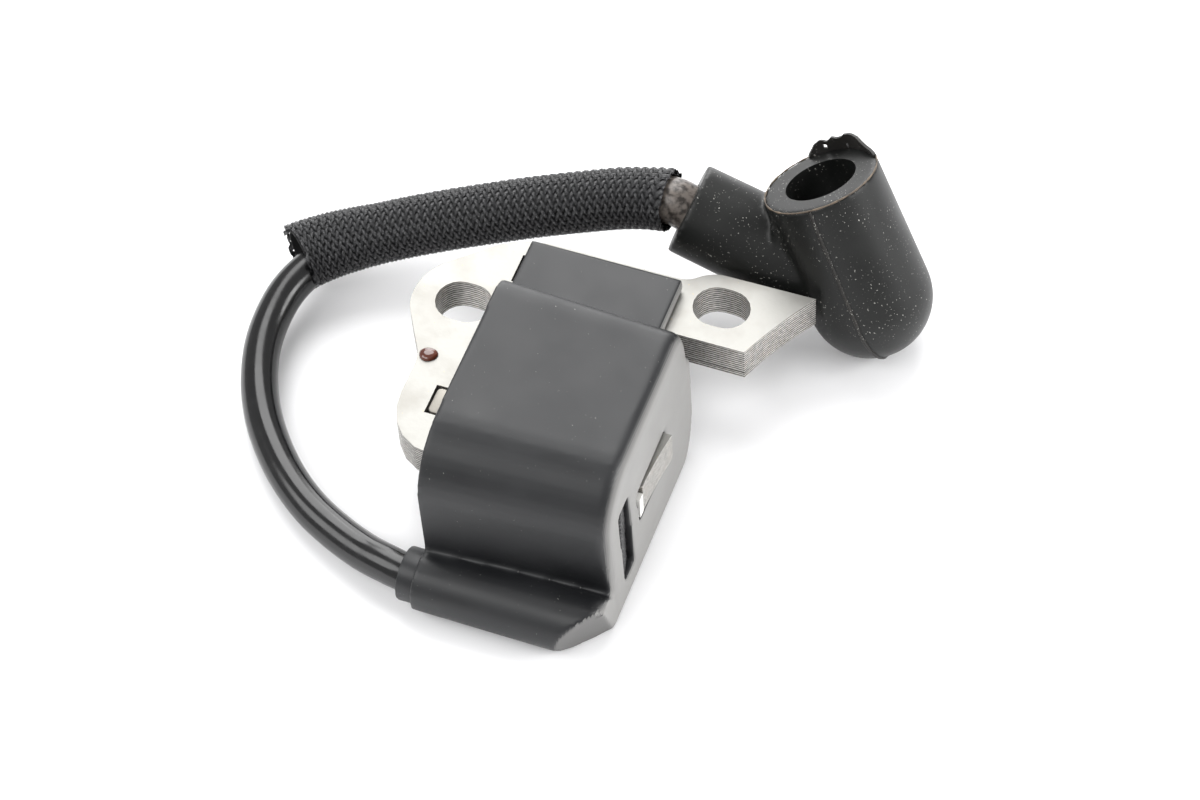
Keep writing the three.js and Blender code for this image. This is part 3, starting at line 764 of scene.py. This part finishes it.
# %% Sweeping a ring along a line
def swept_tube(name, points, outer, inner, sides=32):
    """A tube with thick walls round a line, closed at both ends."""
    frames = carried_frames(points)
    verts, faces = [], []
    for radius in (outer, inner):
        for p, side, up in frames:
            for s in range(sides):
                t = 2 * math.pi * s / sides
                verts.append(p + (side * math.cos(t) + up * math.sin(t)) * radius)
    n = len(frames)
    for i in range(n - 1):
        for s in range(sides):
            a, b = i * sides + s, i * sides + (s + 1) % sides
            faces.append((a, b, b + sides, a + sides))
            c, d = a + n * sides, b + n * sides
            faces.append((d, c, c + sides, d + sides))
    for i, flip in ((0, True), (n - 1, False)):
        for s in range(sides):
            a, b = i * sides + s, i * sides + (s + 1) % sides
            quad = (a, b, b + n * sides, a + n * sides)
            faces.append(quad[::-1] if flip else quad)
    made = mesh_piece(name, verts, faces)
    face_outwards(made)
    bpy.ops.object.shade_smooth_by_angle(angle=math.radians(40))
    return made


# a thin black tube just inside the braid, which is no real part: painted shade in the gaps
# between the yarns
gap_shade = swept_tube("braid_gap_shade", sleeve_line[3:-2:5], 4.22 * MM, 4.1 * MM)
dress(gap_shade, gap_shade_film)
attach(gap_shade, "coil")

tube_line = part_of_line(lead_line, sleeve_end - 4.8 * MM, neck_mouth + 2.4 * MM, 0.6 * MM)
milky_sleeve = swept_tube("milky_tube", tube_line, 3.7 * MM, 3.15 * MM)
dress(milky_sleeve, milky)
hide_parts("clear_tube")
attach(milky_sleeve, "coil")
print("lining and tube made")

# %% [markdown]
# ## Plug boot
# A rubber moulding: a neck for the lead and a wider barrel for the plug, which meet
# at about 45 degrees and flow into each other. The two are turned on their own axes
# and joined, and a voxel remesh with some smoothing gives the soft blend. The bores
# are cut afterwards, so that their rims stay crisp.

# %% Turned solids
def turned_solid(name, profile, start, axis, sides=96):
    """A solid of revolution about an axis.

    The profile is (radius, distance along the axis), in mm.
    """
    edges = [(i, i + 1) for i in range(len(profile) - 1)]
    made = mesh_piece(name, [(r * MM, 0, z * MM) for r, z in profile], [], edges)
    activate(made)
    bpy.ops.object.mode_set(mode="EDIT")
    bpy.ops.mesh.select_all(action="SELECT")
    bpy.ops.mesh.spin(steps=sides, angle=2 * math.pi, center=(0, 0, 0), axis=(0, 0, 1))
    bpy.ops.mesh.select_all(action="SELECT")
    bpy.ops.mesh.remove_doubles(threshold=1e-6)
    bpy.ops.mesh.normals_make_consistent(inside=False)
    bpy.ops.object.mode_set(mode="OBJECT")
    turn = Vector((0, 0, 1)).rotation_difference(axis).to_matrix().to_4x4()
    made.data.transform(Matrix.Translation(start) @ turn)
    return made


def join_or_cut(piece, other, operation):
    """Joins the other piece to this one, or cuts it away, and deletes the other."""
    modify(piece, "BOOLEAN", object=other, operation=operation, solver="EXACT")
    bpy.data.objects.remove(other)


barrel_heading, barrel_rise = math.radians(153), math.radians(59)
barrel_axis = Vector((
    math.cos(barrel_rise) * math.cos(barrel_heading),
    math.cos(barrel_rise) * math.sin(barrel_heading),
    math.sin(barrel_rise),
))
barrel_length, mouth_radius, mouth_bore, bulb_radius = 21.3, 9.05, 5.6, 9.6
dome = [(bulb_radius * math.sin(a), -bulb_radius * math.cos(a))
        for a in np.linspace(0, math.pi / 2, 14)]
barrel = turned_solid("plug_boot_moulding", [
    *dome, (9.45, 6), (mouth_radius, barrel_length), (0, barrel_length),
], bulb, barrel_axis)
neck = turned_solid("neck", [
    (0, 0), (7.35, 0), (7.3, 12), (7.15, neck_length), (0, neck_length),
], bulb, neck_axis)
join_or_cut(barrel, neck, "UNION")
side = barrel_axis.cross(neck_axis).normalized()
across = side.cross(barrel_axis).normalized()
# a web fills the crotch between barrel and neck
web_corners = ((0, 2), (0, 18.6), (8.4, 18.2), (9.2, 9))
web_half = 5.7
web_points = [bulb + (across * a + barrel_axis * d + side * h) * MM
              for h in (-web_half, web_half) for a, d in web_corners]
n = len(web_corners)
web_faces = [tuple(range(n)), tuple(range(2 * n - 1, n - 1, -1))]
web_faces += [(i, i + n, (i + 1) % n + n, (i + 1) % n) for i in range(n)]
web = mesh_piece("web", web_points, web_faces)
face_outwards(web)
join_or_cut(barrel, web, "UNION")
modify(barrel, "REMESH", mode="VOXEL", voxel_size=VOXEL)
modify(barrel, "SMOOTH", factor=0.5, iterations=6)
print("boot after remesh", len(barrel.data.polygons))

# %% Bores
lead_bore, counterbore, counterbore_from = 3.2, 4.0, neck_length - 2.8
hole = turned_solid("hole", [
    (0, -4), (3, -3.2), (mouth_bore, 0.5), (mouth_bore, 26), (0, 26),
], bulb, barrel_axis, 64)
join_or_cut(barrel, hole, "DIFFERENCE")
hole = turned_solid("hole", [
    (0, 0), (lead_bore, 0), (lead_bore, counterbore_from), (counterbore, counterbore_from),
    (counterbore, neck_length + 3), (0, neck_length + 3),
], bulb, neck_axis, 48)
join_or_cut(barrel, hole, "DIFFERENCE")
activate(barrel)
bpy.ops.object.shade_smooth_by_angle(angle=math.radians(40))
dress(barrel, boot_rubber)
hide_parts("plug_boot")
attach(barrel, "boot")
print("boot faces", len(barrel.data.polygons))

# %% [markdown]
# The mould left its marks. A raised parting line runs down both sides of the barrel
# and under it, a thin brown flash stands on the mouth's rim, and a torn tab of flash
# is left behind the mouth.

# %% Mould marks
def bead(name, points, radii, finish, closed=False):
    """A thin round bead of flash on the boot, with its radius in mm at each point."""
    made, spline = round_bar(name, points, MM, 2)
    for point, radius in zip(spline.points, radii):
        point.radius = radius
    spline.use_cyclic_u = closed
    dress(made, finish)
    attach(made, "boot")


def on_barrel(distance, turn, out=0.0):
    """A point on the barrel's skin, or out from it.

    distance is along the axis and, like out, in mm. turn is in radians from its side.
    """
    if distance < 0:
        radius = math.sqrt(max(0.0, bulb_radius**2 - distance**2))
    else:
        radius = bulb_radius + (mouth_radius - bulb_radius) * distance / barrel_length
    outward = side * math.cos(turn) + across * math.sin(turn)
    return bulb + (barrel_axis * distance + outward * (radius + out)) * MM


underneath = [(-bulb_radius * math.sin(a), bulb_radius * math.cos(a))
              for a in np.linspace(0, math.pi, 40)]
seam = [on_barrel(d, 0) for d in np.arange(barrel_length - 0.2, 0.2, -0.5)]
seam += [bulb + (barrel_axis * d + side * r) * MM for d, r in underneath]
seam += [on_barrel(d, math.pi) for d in np.arange(0.5, barrel_length, 0.5)]
seam_radii = [0.27 + random.uniform(-0.05, 0.06) for _ in seam]
bead("boot_parting_line", seam, seam_radii, dusty_rubber)
rim_points = 120
rim = [on_barrel(barrel_length - 0.05, 2 * math.pi * k / rim_points, -0.12)
       for k in range(rim_points)]
rim_radii = [0.13 + random.uniform(-0.05, 0.05) for _ in rim]
bead("mouth_rim_flash", rim, rim_radii, rim_flash, closed=True)

tab_columns, tab_rows, tab_root = 47, 5, 0.6
tab_turns = np.radians(np.linspace(156, 248, tab_columns))
tab_heights = [0.3, 1.5, 2.1, 1.7, 2.4, 2.0, 2.5, 2.3, 2.0, 1.7, 1.3, 0.9, 0.3]
tears = ((9, 2), (10, 2), (22, 1), (31, 2))
verts, faces = [], []
for k, turn in enumerate(tab_turns):
    at = k / (tab_columns - 1) * (len(tab_heights) - 1)
    top = np.interp(at, range(len(tab_heights)), tab_heights) + random.uniform(-0.07, 0.07)
    for j in range(tab_rows):
        up_share = j / (tab_rows - 1)
        lean = 0.25 * up_share * math.sin(9 * turn)
        reach = barrel_length - tab_root + (top + tab_root) * up_share
        verts.append(on_barrel(reach, turn, lean - 0.45))
for k in range(tab_columns - 1):
    for j in range(tab_rows - 1):
        if (k, j) in tears:
            continue
        a = tab_rows * k + j
        faces.append((a, a + tab_rows, a + tab_rows + 1, a + 1))
tab = mesh_piece("torn_mouth_tab", verts, faces)
modify(tab, "SOLIDIFY", thickness=0.45 * MM, offset=0)
activate(tab)
bpy.ops.object.shade_smooth_by_angle(angle=math.radians(50))
dress(tab, dusty_rubber)
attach(tab, "boot")
print("mould marks: seam points", len(seam), "tab faces", len(tab.data.polygons))

# %% Plug spring
coils, steps, coil_radius = 4, 24, 4
spring_points = []
for k in range(coils * steps + 1):
    turn = k / steps
    angle = 2 * math.pi * turn
    outward = side * coil_radius * math.cos(angle) + across * coil_radius * math.sin(angle)
    spring_points.append(bulb + (barrel_axis * (6.3 + 1.8 * turn) + outward) * MM)
spring, _ = round_bar("plug_grip_spring", spring_points, 0.45 * MM, 3)
dress(spring, spring_steel)
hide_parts("plug_spring")
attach(spring, "boot")
print("spring turns", coils)

# %% Update the scene
bpy.context.view_layer.update()
